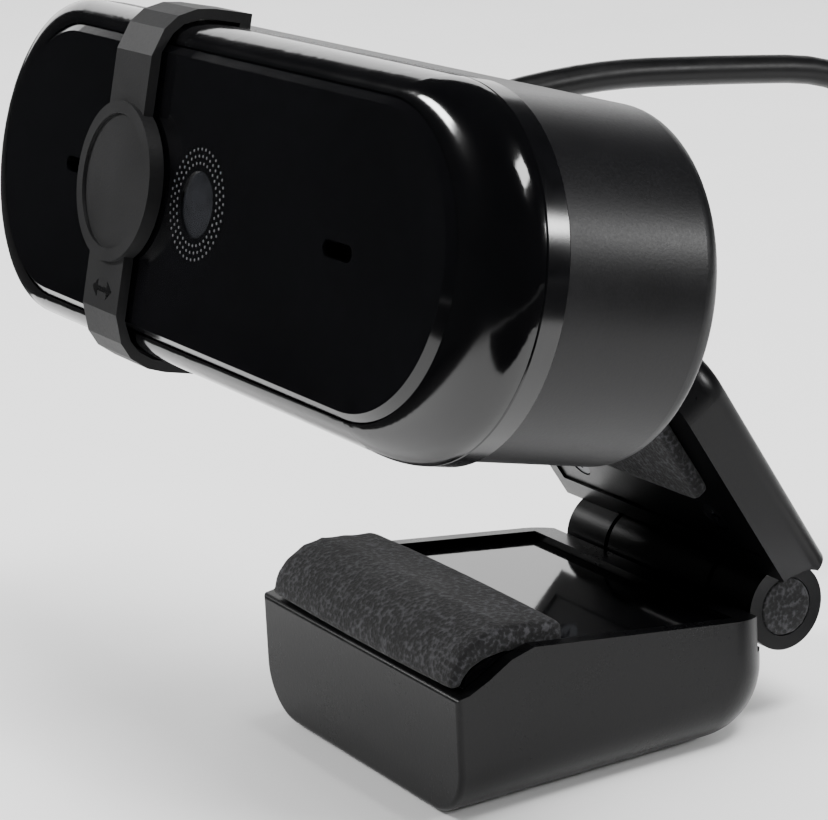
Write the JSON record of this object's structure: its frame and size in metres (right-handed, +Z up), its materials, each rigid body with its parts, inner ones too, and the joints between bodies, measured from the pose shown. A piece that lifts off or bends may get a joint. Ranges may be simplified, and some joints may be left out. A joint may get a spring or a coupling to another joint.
{
  "type": "webcam on folding clip stand",
  "caption": "Desktop webcam with a wide round-ended camera head, a sliding privacy shutter, a folding monitor clip that doubles as a stand, and a cable with plug",
  "frame": {"origin": "centre of the mouth of the tripod socket, in the underside of the clip foot, which stands on the surface", "axes": "+X along the camera head, -Y the way the lens looks, +Z up"},
  "size_m": [0.108, 0.1769, 0.0812],
  "materials": {
    "satin_black": "satin moulded",
    "housing_black": "fine texture",
    "gloss_black": "polished",
    "smoked_panel": "smooth dark panel",
    "clear_window": "polished",
    "foam": "open cell foam",
    "cover_black": "soft matte",
    "felt": "felt",
    "steel": "dark zinc",
    "nylon": "moulded",
    "brass": "turned",
    "board_green": "solder mask",
    "chip": "moulded",
    "filter_glass": "coated",
    "soft_rubber": "soft moulded",
    "cable_black": "extruded jacket",
    "tie_black": "hook and loop",
    "plug_black": "moulded",
    "plug_metal": "nickel plated"
  },
  "bodies": {
    "foot": {"foot_shell": "satin_black", "tripod_insert": "brass", "foot_lid": "gloss_black", "foot_screw_left": "steel", "foot_screw_right": "steel", "foot_pad": "foam", "hinge_pin": "steel", "hinge_washer_left": "steel", "hinge_washer_right": "steel"},
    "arm": {"arm_shell": "satin_black", "arm_inner_plate": "satin_black", "arm_screw_left": "steel", "arm_screw_right": "steel", "hinge_disc_left": "foam", "hinge_disc_right": "foam", "arm_pad": "foam", "tilt_pin": "steel"},
    "neck": {"neck": "satin_black", "tilt_washer_left": "nylon", "tilt_washer_right": "nylon"},
    "head": {"front_plate": "smoked_panel", "lens_window": "clear_window", "bezel": "gloss_black", "trim_ring": "gloss_black", "rear_housing": "housing_black", "housing_screw_1": "steel", "housing_screw_2": "steel", "housing_screw_3": "steel", "housing_screw_4": "steel", "pan_pin": "steel", "main_board": "board_green", "board_standoff_left": "nylon", "board_standoff_right": "nylon", "board_screw_left": "steel", "board_screw_right": "steel", "image_sensor": "chip", "lens_holder": "nylon", "ir_filter": "filter_glass", "lens_barrel": "nylon", "lens_element": "clear_window", "mic_gasket_left": "soft_rubber", "mic_gasket_right": "soft_rubber", "microphone_left": "chip", "microphone_right": "chip", "board_connector": "nylon", "strain_relief": "soft_rubber", "usb_cable": "cable_black", "usb_cable_coil": "cable_black", "cable_tie": "tie_black", "usb_cable_tail": "cable_black", "plug_relief": "soft_rubber", "usb_plug_body": "plug_black", "usb_plug_shell": "plug_metal", "usb_plug_tongue": "nylon"},
    "cover": {"privacy_cover": "cover_black", "cover_liner": "felt"}
  },
  "joints": [
    {"name": "clip_hinge", "type": "hinge", "parent": "foot", "child": "arm", "pos_m": [0, 0.0257, 0.013], "axis": [-1, 0, 0], "range_deg": [-31, 118]},
    {"name": "tilt_hinge", "type": "hinge", "parent": "arm", "child": "neck", "pos_m": [0, 0.00553, 0.05107], "axis": [-1, 0, 0], "range_deg": [-5, 40]},
    {"name": "pan_swivel", "type": "hinge", "parent": "neck", "child": "head", "pos_m": [0, -0.00333, 0.05657], "axis": [0, 0.23, 0.9732], "range_deg": [-20, 20]},
    {"name": "cover_slide", "type": "slide", "parent": "head", "child": "cover", "axis": [1, 0, 0], "range_m": [-0.0124, 0.0396]}
  ]
}
